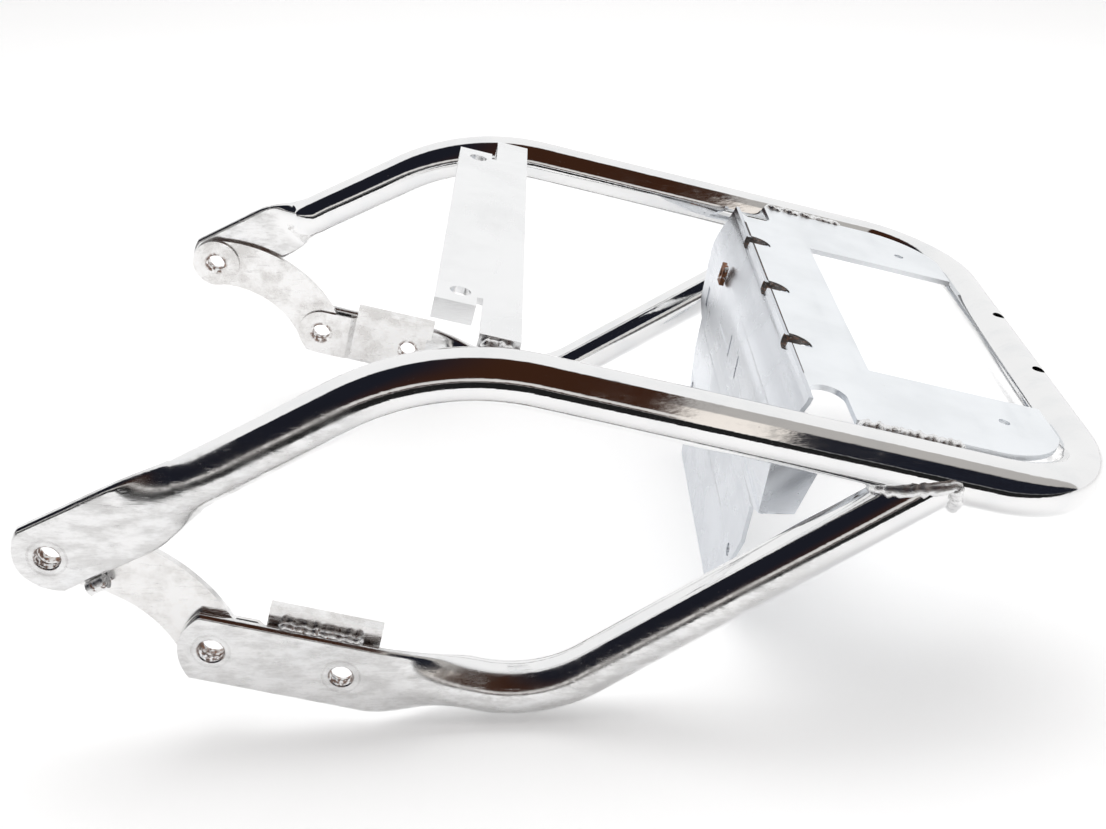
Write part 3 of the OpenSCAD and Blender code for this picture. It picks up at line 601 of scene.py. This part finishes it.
def rustAndShadeShape(y, seed):
    # a ragged dark skin over the far part of a seam opening, sagging to its middle: partly rust
    # and partly painted shade in the opening
    rng = np.random.default_rng(seed)
    r = hang["holeR"] - rustAndShade["play"]
    u = np.linspace(-rustAndShade["front"], r - rustAndShade["rimLeft"], rustAndShade["columns"])[:, None]
    v = np.linspace(0, 1, rustAndShade["rows"])[None, :]
    reach = np.sqrt(np.clip(1 - (u/np.where(u < 0, rustAndShade["frontR"], r))**2, 0.002, 1))*r
    # its ragged edge runs askew from the front to the rear
    ragged = rustAndShade["ragged"]*lumps(rng, u, np.zeros((1, 1)), rustAndShade["raggedScale"])
    near = np.minimum(rustAndShade["askew"]*u + rustAndShade["edgeAt"] + ragged, reach - rustAndShade["narrowest"])
    across = near + (reach - near)*v
    out = np.clip(np.hypot(u, across)/r, 0, 1)
    bowl = -rustAndShade["down"] - rustAndShade["sag"]*(1 - out**2)
    # over the hanging plate it lies just above the notch in the plate's edge
    arc = np.sqrt(hang["holeR"]**2 - np.minimum(across, rustAndShade["widest"])**2)
    notch = np.minimum(hang["arcUp"] + rustAndShade["overPlate"] - arc, -rustAndShade["underDeck"])
    w = np.clip((rustAndShade["plateFrom"] - u)/rustAndShade["plateFade"], 0, 1)
    curl = rustAndShade["curl"]*lumps(rng, u*2, v*8, 1.0)*(1 - v)
    z = rack["deckZ"] + notch*w + bowl*(1 - w) + curl
    return makeSkin(np.stack([deckX + u + 0*v, y + across, z], -1), rustAndShade["thick"])


def seamShadeLineShape(y0, y1, wide):
    # a thin dark strip painted as the shade in the seam's gap between two openings
    y = np.linspace(y0, y1, seamShadeLine["rows"])[:, None]
    half = np.linspace(wide, wide + seamShadeLine["flare"], seamShadeLine["rows"])[:, None]/2
    x = deckX + half*np.linspace(-1, 1, 3)[None, :]
    return makeSkin(np.stack([x, y + 0*x, 0*x + rack["deckZ"] + seamShadeLine["above"]], -1), seamShadeLine["thick"])


def makeSeam():
    # the short beads in the corner under the seam, the dark skins in its openings that are partly
    # rust and partly painted shade, and the strips of painted shade in its gap
    pitch, half = hang["seamPitch"], seamBead["half"]
    x, z = deckX + seamBead["x"], seamBead["z"]
    shapes = [beadShape(linePath([x, s*pitch - half, z], [x, s*pitch + half, z]),
        seamBead["r"], seamBead["seed"] + i) for i, s in enumerate((-1.5, -0.5, 0.5, 1.5))]
    shapes += [rustAndShadeShape(i*pitch, rustAndShade["seed"] + i) for i in (-1, 0, 1)]
    edges = [i*pitch + d for i in (-1, 0, 1) for d in (-hang["chord"], hang["holeR"])]
    edges = [-hang["seamEnd"]] + edges + [hang["seamEnd"]]
    shapes += [seamShadeLineShape(edges[k], edges[k + 1], seamShadeLine["wide"] + k*seamShadeLine["grow"])
        for k in range(0, len(edges), 2)]
    points, faces, first = [], [], 0
    for some, part in shapes:
        points.append(some)
        faces += [[v + first for v in f] for f in part]
        first += len(some)
    points = toGround(np.concatenate(points))
    obj = makeMesh("seam_welds_and_shade", points, faces, hang["seamSharp"])
    outward(obj)
    return standIn(obj, "seam_welds")


plateRolled = makeHangingPlate()
seam = makeSeam()
print("hanging plate and seam made")


# shader maths
def connect(target, value):  # a link from a socket, or a plain value
    if isinstance(value, Socket):
        target.id_data.links.new(value.out, target)
    else:
        target.default_value = value


class Socket:  # an output socket; sums and products of sockets add their Math nodes
    def __init__(self, out):
        self.out = out
        self.tree = out.id_data

    @staticmethod
    def made(tree, kind, settings=None, inputs=None, output=0):
        # every node comes from here: its settings first, then the values or links of its sockets
        new = tree.nodes.new(kind)
        for key, value in (settings or {}).items():
            setattr(new, key, value)
        for key, value in (inputs or {}).items():
            connect(new.inputs[key], value)
        return Socket(new.outputs[output])

    def node(self, kind, settings=None, inputs=None, output=0):
        return Socket.made(self.tree, kind, settings, inputs, output)

    def maths(self, operation, *others):
        return self.node("ShaderNodeMath", {"operation": operation},
            dict(enumerate((self, *others))))

    def vector(self, operation, other, output=0):
        return self.node("ShaderNodeVectorMath", {"operation": operation},
            {0: self, 1: other}, output)

    def __add__(self, other):
        return self.maths("ADD", other)

    def __sub__(self, other):
        return self.maths("SUBTRACT", other)

    def __mul__(self, other):
        return self.maths("MULTIPLY", other)

    def __rsub__(self, other):
        return self.node("ShaderNodeMath", {"operation": "SUBTRACT"}, {0: other, 1: self})

    __radd__ = __add__
    __rmul__ = __mul__

    def xyz(self):  # the three parts of a vector
        parts = self.node("ShaderNodeSeparateXYZ", None, {0: self}).out.node
        return [Socket(out) for out in parts.outputs]

    def step(self, low, high):  # 0 below low and 1 above high, smooth between
        return self.node("ShaderNodeMapRange", {"interpolation_type": "SMOOTHSTEP"},
            {"Value": self, "From Min": low, "From Max": high})

    def band(self, a, b, c, d):  # rises from a to b and falls again from c to d
        return self.step(a, b)*(1 - self.step(c, d))

    def noise(self, scale, detail=3.0, rough=0.55, stretch=(1, 1, 1)):
        return self.node("ShaderNodeTexNoise", None, {"Vector": self.vector("MULTIPLY", stretch),
            "Scale": scale, "Detail": detail, "Roughness": rough})

    def marks(self, low, high, **noise):  # a mask of noise: 0 below low and 1 above high
        return self.noise(**noise).step(low, high)

    def colours(self, low, high):  # this mask blends two colours
        return self.node("ShaderNodeMix", {"data_type": "RGBA"}, {0: self, 6: low, 7: high}, 2)


def newMaterial(name):  # a material, and the coordinates that its patterns read
    mat = bpy.data.materials.new(name)
    mat.use_nodes = True
    return mat, Socket.made(mat.node_tree, "ShaderNodeTexCoord", output="Object")


def feed(mat, **inputs):  # values and sockets for the material's shader
    names = {"colour": "Base Color", "roughness": "Roughness", "metallic": "Metallic",
        "normal": "Normal", "glow": "Emission Color", "glowStrength": "Emission Strength"}
    shader = mat.node_tree.nodes["Principled BSDF"]
    for key, value in inputs.items():
        connect(shader.inputs[names[key]], value)


def bump(height, strength, distance=0.0004):  # small relief from a height
    return height.node("ShaderNodeBump", None,
        {"Height": height, "Strength": strength, "Distance": distance})


def total(base, weights, masks):  # the base plus each named mask times its weight
    for key, weight in weights.items():
        base = base + masks[key]*weight
    return base


def grey(v, warm=0.0):  # a grey, redder where it is warm
    return (v*(1 + warm), v, v*(1 - warm), 1)


# the bores that run across the rack, each with its place [x, z] and its radius
crossBores = [(upperHole, rack["upperBoreR"]), (lowerFront, rack["frontBoreR"]),
    (lowerRear, rack["rearBoreR"])]
washerEdges = (0.0070, 0.0074, 0.0080, 0.0084)
rustInside = 0.4


def roundBores(at, mask):
    # the largest of the masks that the bores make from the distance to their middles
    flat = at.vector("MULTIPLY", (1, 0, 1))
    most = None
    for (x, z), r in crossBores:
        px, _, pz = toGround([x, 0, z])
        here = mask(flat.vector("DISTANCE", (float(px), 0, float(pz)), "Value"), r)
        most = here if most is None else most.maths("MAXIMUM", here)
    return most


def boreRust(at, reach):  # 1 at the wall of each bore, fading to 0 at its reach beyond the wall
    return roundBores(at,
        lambda away, r: 1 - away.step((r - rustInside)/1000, (r + reach)/1000))


def washerRings(at):  # the pressed mark of a washer round each bore
    return roundBores(at, lambda away, r: away.band(*washerEdges))


# finishes

# noise has a scale, a detail, a roughness and a stretch; a mask of it has a low and a high mark
rustTone = {"dark": (0.085, 0.030, 0.012, 1), "bright": (0.30, 0.115, 0.040, 1),
    "cloud": dict(scale=900, detail=4, low=0.35, high=0.65)}
chrome = {
    "clean": grey(0.86), "smeared": grey(0.86*0.95, -0.008), "worn": grey(0.60, 0.01),
    "wornFrom": {"streak": 0.75, "ring": 0.25}, "lugOut": (0.1535, 0.1575),
    "rustReach": 1.0, "pitRust": 0.8, "rustMetal": 0.85,
    "roughness": 0.045, "roughFrom": {"smear": 0.05, "fine": 0.05, "rust": 0.5, "lug": 0.07,
        "streak": 0.13, "cut": 0.10, "ring": 0.10},
    "bump": 0.05, "bumpFrom": {"pitted": 2.0, "cut": 2.0, "streak": 0.6},
    "smear": dict(scale=38, detail=4, rough=0.6, stretch=(1, 1.6, 1), low=0.42, high=0.74),
    "fine": dict(scale=420, detail=3, rough=0.6, stretch=(0.16, 1, 1), low=0.55, high=0.72),
    "pits": dict(scale=1150, detail=2, rough=0.5, low=0.745, high=0.79),
    "patches": dict(scale=30, detail=2, low=0.50, high=0.66),
    "rust": dict(scale=520, detail=3, low=0.44, high=0.58),
    "streak": dict(scale=60, detail=5, rough=0.7, stretch=(1.2, 1, 3.2), low=0.34, high=0.66),
    "cut": dict(scale=620, detail=2, rough=0.6, stretch=(0.10, 1, 0.6), low=0.60, high=0.70),
    "grain": dict(scale=700, detail=2, rough=0.5, stretch=(0.2, 1, 1)),
}
haze = {
    "clean": grey(0.86, 0.005), "blotched": grey(0.70, 0.02), "rustReach": 2.2,
    "rustMetal": 0.9, "roughness": 0.16, "roughFrom": {"blotch": 0.14, "scratch": 0.12,
        "rust": 0.4},
    "bump": 0.10, "bumpFrom": {"scratch": 0.8},
    "along": dict(scale=230, detail=4, rough=0.6, stretch=(0.22, 1, 1.4)),
    "blotch": dict(scale=70, detail=4, rough=0.65, low=0.38, high=0.68),
    "scratch": dict(scale=900, detail=2, rough=0.6, stretch=(0.12, 1, 1), low=0.60, high=0.66),
    "rust": dict(scale=420, detail=4, low=0.42, high=0.60),
}
sheet = {
    "cloudTone": 0.95, "speckTone": grey(0.16, 0.25), "speckMetal": 0.7, "sideShift": 0.7,
    "roughFrom": {"cloud": 0.08, "wipe": 0.10, "speck": 0.3},
    "bump": 0.10, "bumpFrom": {"wipe": 0.6},
    "cloud": dict(scale=26, detail=4, rough=0.6, low=0.35, high=0.72),
    "grain": dict(scale=1400, detail=3, rough=0.6),
    "wipe": dict(scale=120, detail=3, rough=0.6, stretch=(1, 0.12, 1), low=0.55, high=0.75),
    "speck": dict(scale=1900, detail=2, rough=0.5, low=0.77, high=0.80),
}
beadSkin = {
    "clean": grey(0.86), "rustMetal": 0.9, "low": 0.74, "lowDrop": 0.38, "high": 0.80,
    "highDrop": 0.32, "roughness": 0.16, "roughFrom": {"grain": 0.16, "patch": 0.45},
    "bump": 0.45, "bumpDeep": 0.0008, "patch": dict(scale=330, detail=4, rough=0.6),
    "grain": dict(scale=900, detail=4, rough=0.65),
}
# near-black burnt metal; on the seam's gap strips and opening skins it is painted shade
burntAndShade = {
    "black": (0.020, 0.014, 0.012, 1), "brown": (0.11, 0.045, 0.020, 1), "bright": grey(0.75),
    "roughness": 0.55, "roughFrom": {"speck": -0.35}, "bump": 0.5, "bumpDeep": 0.0008,
    "patch": dict(scale=420, detail=4, rough=0.6, low=0.50, high=0.66),
    "speck": dict(scale=1500, detail=2, rough=0.6, low=0.66, high=0.70),
    "grain": dict(scale=900, detail=4, rough=0.65),
}


def rustColour(at):  # dark and bright rust in clouds
    return at.marks(**rustTone["cloud"]).colours(rustTone["dark"], rustTone["bright"])


def chromeMaterial():
    # mirror chrome with faint smears and fine scratches, and rust in its bores
    mat, at = newMaterial("polishedChrome")
    masks = {key: at.marks(**chrome[key]) for key in ("smear", "fine", "streak", "cut")}
    # small rusty pits gather in patches
    masks["pitted"] = at.marks(**chrome["pits"])*at.marks(**chrome["patches"])
    masks["rust"] = (boreRust(at, chrome["rustReach"])*at.marks(**chrome["rust"])).maths(
        "MAXIMUM", masks["pitted"]*chrome["pitRust"])
    # the flattened ends are hazy, with brushed streaks along them and washer marks
    lug = at.xyz()[1].maths("ABSOLUTE").step(*chrome["lugOut"])
    masks |= {"lug": lug, "streak": masks["streak"]*lug, "cut": masks["cut"]*lug,
        "ring": washerRings(at)*lug}
    base = masks["smear"].colours(chrome["clean"], chrome["smeared"])
    worn = total(0.0, chrome["wornFrom"], masks).colours(base, chrome["worn"])
    feed(mat,
        colour=masks["rust"].colours(worn, rustColour(at)),
        metallic=1 - masks["rust"]*chrome["rustMetal"],
        roughness=total(chrome["roughness"], chrome["roughFrom"], masks),
        normal=bump(total(at.noise(**chrome["grain"]), chrome["bumpFrom"], masks),
            chrome["bump"]))
    return mat


def dullChromeMaterial():
    # chrome gone hazy in blotches, scratched, and rusty in its bores
    mat, at = newMaterial("hazyChrome")
    masks = {key: at.marks(**haze[key]) for key in ("blotch", "scratch", "rust")}
    masks["rust"] = boreRust(at, haze["rustReach"])*masks["rust"]
    base = masks["blotch"].colours(haze["clean"], haze["blotched"])
    feed(mat,
        colour=masks["rust"].colours(base, rustColour(at)),
        metallic=1 - masks["rust"]*haze["rustMetal"],
        roughness=total(haze["roughness"], haze["roughFrom"], masks),
        normal=bump(total(at.noise(**haze["along"]), haze["bumpFrom"], masks), haze["bump"]))
    return mat


def sheetMaterial(name, tint, roughness, shift):
    # pale sheet metal with soft clouds, wiped streaks and a few dark specks
    mat, at = newMaterial(name)
    moved = at.vector("ADD", (shift, shift*sheet["sideShift"], 0))
    masks = {key: moved.marks(**sheet[key]) for key in ("cloud", "wipe", "speck")}
    cloudy = tuple(c*sheet["cloudTone"] for c in tint[:3]) + (1,)
    feed(mat,
        colour=masks["speck"].colours(masks["cloud"].colours(tint, cloudy), sheet["speckTone"]),
        metallic=1 - masks["speck"]*sheet["speckMetal"],
        roughness=total(roughness, sheet["roughFrom"], masks),
        normal=bump(total(moved.noise(**sheet["grain"]), sheet["bumpFrom"], masks),
            sheet["bump"]))
    return mat


def beadMaterial(name, rusty):
    # a plated bead, brown in patches that spread as it gets rustier
    mat, at = newMaterial(name)
    low = beadSkin["low"] - rusty*beadSkin["lowDrop"]
    high = beadSkin["high"] - rusty*beadSkin["highDrop"]
    masks = {"patch": at.marks(low, high, **beadSkin["patch"]),
        "grain": at.noise(**beadSkin["grain"])}
    feed(mat,
        colour=masks["patch"].colours(beadSkin["clean"], rustColour(at)),
        metallic=1 - masks["patch"]*beadSkin["rustMetal"],
        roughness=total(beadSkin["roughness"], beadSkin["roughFrom"], masks),
        normal=bump(masks["grain"], beadSkin["bump"], beadSkin["bumpDeep"]))
    return mat


def seamAndShadeMaterial(name):
    # burnt and rusted metal: nearly black, with brown patches and a few bright specks; where it
    # lines the seam's gap and openings its near-black is painted shade
    mat, at = newMaterial(name)
    masks = {key: at.marks(**burntAndShade[key]) for key in ("patch", "speck")}
    dark = masks["patch"].colours(burntAndShade["black"], burntAndShade["brown"])
    feed(mat,
        colour=masks["speck"].colours(dark, burntAndShade["bright"]),
        metallic=masks["speck"],
        roughness=total(burntAndShade["roughness"], burntAndShade["roughFrom"], masks),
        normal=bump(at.noise(**burntAndShade["grain"]), burntAndShade["bump"], burntAndShade["bumpDeep"]))
    return mat


def dress(obj, mat):  # one finish over the whole piece
    slots = obj.data.materials
    if not slots:
        slots.append(mat)
    for i in range(len(slots)):
        slots[i] = mat


chromeMat = chromeMaterial()
dullMat = dullChromeMaterial()
deckMat = sheetMaterial("paleSheet", tint=(0.90, 0.925, 0.95, 1), roughness=0.32, shift=0.0)
strapMat = sheetMaterial("strapSheet", tint=(0.90, 0.905, 0.91, 1), roughness=0.22, shift=0.7)
# the hanging plate's tint is the deck's darkened by about a quarter: partly the sheet's own grey
# and partly painted shade
greyShadedHangMat = sheetMaterial("greyShadedSheet", tint=(0.68, 0.705, 0.745, 1), roughness=0.24, shift=1.9)
beadMat = beadMaterial("roughBead", rusty=0.0)
stainMat = beadMaterial("stainedBead", rusty=0.45)
rustMat = beadMaterial("rustedBead", rusty=1.0)
seamAndShadeMat = seamAndShadeMaterial("burntAndShadeBead")

finishes = {"cross_strap": strapMat, "deck_plate": deckMat, "hanging_plate": greyShadedHangMat,
    "plate_clip": rustMat, "seam_welds": rustMat, "link_peg_right": stainMat,
    "link_peg_left": stainMat}
for node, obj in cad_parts.items():
    dress(obj, finishes.get(node, dullMat))
for piece in (hoop, braceLeft, braceRight):
    dress(piece, chromeMat)
for piece in beads:
    dress(piece, stainMat if "ledge" in piece.name else beadMat)
dress(plateRolled, greyShadedHangMat)
dress(seam, seamAndShadeMat)
print("finishes made")

# floor, world, lamp
floor = {"near": -0.47, "far": 3.4, "half": 3.0, "tone": grey(0.93),
    "markTone": grey(0.93*0.96), "roughness": 0.75, "lift": grey(0.30),
    "marks": dict(scale=60, detail=5, rough=0.7, low=0.60, high=0.75)}
room = {"white": grey(1.0), "under": grey(0.015), "strip": grey(0.75, 0.03),
    "brown": (0.045, 0.017, 0.009, 1), "navy": (0.012, 0.013, 0.020, 1),
    "glow": (0.50, 0.48, 0.46, 1), "lamp": (1.0, 0.93, 0.86, 1),
    "blue": (0.30, 0.42, 0.62, 1), "blueShare": 0.55,
    "speckle": dict(scale=160, detail=3, rough=0.8, low=0.62, high=0.70)}
# where the room's zones begin and end, in degrees above the near horizon
zones = {"room": (-2, 2, 98, 103), "strip": (3, 6, 12, 16), "low": (-22, -14, 52, 60),
    "under": (-34, -30, -2, 2)}
# and from left to right, along the rails
sides = {"right": (0.195, 0.215), "brown": (-0.55, -0.05), "lampEnd": (0.27, 0.29),
    "speckled": (0.28, 0.36)}
topLamp = {"place": (0.1, 0.2, 1.6), "target": (0, 0, 0), "size": (1.8, 1.4), "power": 16.0}


def makeFloor():
    # a pale floor, lifted to white for the camera and for mirrors, that keeps the rack's shadow
    x, near, far = floor["half"], floor["near"], floor["far"]
    obj = makeMesh("floor", [(-x, near, 0), (x, near, 0), (x, far, 0), (-x, far, 0)],
        [[0, 1, 2, 3]])
    mat, at = newMaterial("paleFloor")
    seen = Socket.made(mat.node_tree, "ShaderNodeLightPath", output="Is Camera Ray")
    mirrored = Socket(seen.out.node.outputs["Is Glossy Ray"])
    feed(mat,
        colour=at.marks(**floor["marks"]).colours(floor["tone"], floor["markTone"]),
        roughness=floor["roughness"],
        glow=seen.maths("MAXIMUM", mirrored).colours(grey(0.0), floor["lift"]),
        glowStrength=1.0)
    obj.data.materials.append(mat)


def makeWorld():
    # white behind and above, a dark room on the camera's side
    world = bpy.data.worlds.new("studio")
    bpy.context.scene.world = world
    world.use_nodes = True
    tree = world.node_tree
    way = Socket.made(tree, "ShaderNodeTexCoord", output="Generated")
    x, y, z = way.xyz()
    # 0 degrees on the camera's side, 90 overhead and 180 at the far horizon
    angle = z.maths("ARCTAN2", 0 - y)*(180/math.pi)
    along = x*cosL - z*sinL
    zone = {key: angle.band(*marks) for key, marks in zones.items()}
    side = {key: along.step(*marks) for key, marks in sides.items()}
    left = (1 - side["brown"]).colours(room["brown"], room["navy"])
    speckle = way.marks(**room["speckle"])*side["speckled"]*room["blueShare"]
    low = (1 - side["lampEnd"]).colours(speckle.colours(room["navy"], room["blue"]),
        room["lamp"])
    right = zone["low"].colours(room["glow"], low)
    near = side["right"].colours(zone["strip"].colours(left, room["strip"]), right)
    colour = zone["room"].colours(zone["under"].colours(room["white"], room["under"]), near)
    seen = Socket.made(tree, "ShaderNodeLightPath", output="Is Camera Ray")
    back = tree.nodes["Background"]
    connect(back.inputs["Color"], seen.colours(colour, room["white"]))
    connect(back.inputs["Strength"], 1.0)


def makeLamp(name, lamp):  # a soft lamp that neither the camera nor a mirror shows
    data = bpy.data.lights.new(name, "AREA")
    data.shape, data.energy = "RECTANGLE", lamp["power"]
    data.size, data.size_y = lamp["size"]
    obj = bpy.data.objects.new(name, data)
    obj.location = lamp["place"]
    way = Vector(lamp["target"]) - Vector(lamp["place"])
    obj.rotation_euler = way.to_track_quat("-Z", "Y").to_euler()
    obj.visible_camera = False
    obj.visible_glossy = False
    bpy.context.scene.collection.objects.link(obj)


makeFloor()
makeWorld()
makeLamp("topLamp", topLamp)
print("room made")


# camera
def makeCamera():  # the camera of the photograph, worked out from the rack's own lines
    data = bpy.data.cameras.new("camera")
    data.sensor_width = 36.0
    data.lens = camera["focal"]/camera["imageW"]*data.sensor_width
    data.clip_start, data.clip_end = 0.01, 50.0
    obj = bpy.data.objects.new("camera", data)
    az, pitch = camera["azimuth"], camera["pitch"]
    look = Vector((math.sin(az)*math.cos(pitch), math.cos(az)*math.cos(pitch), -math.sin(pitch)))
    obj.location = Vector(camera["fromBox"])/1000
    obj.rotation_euler = look.to_track_quat("-Z", "Y").to_euler()
    bpy.context.scene.collection.objects.link(obj)
    bpy.context.scene.camera = obj


makeCamera()
bpy.context.scene.view_settings.view_transform = "Standard"
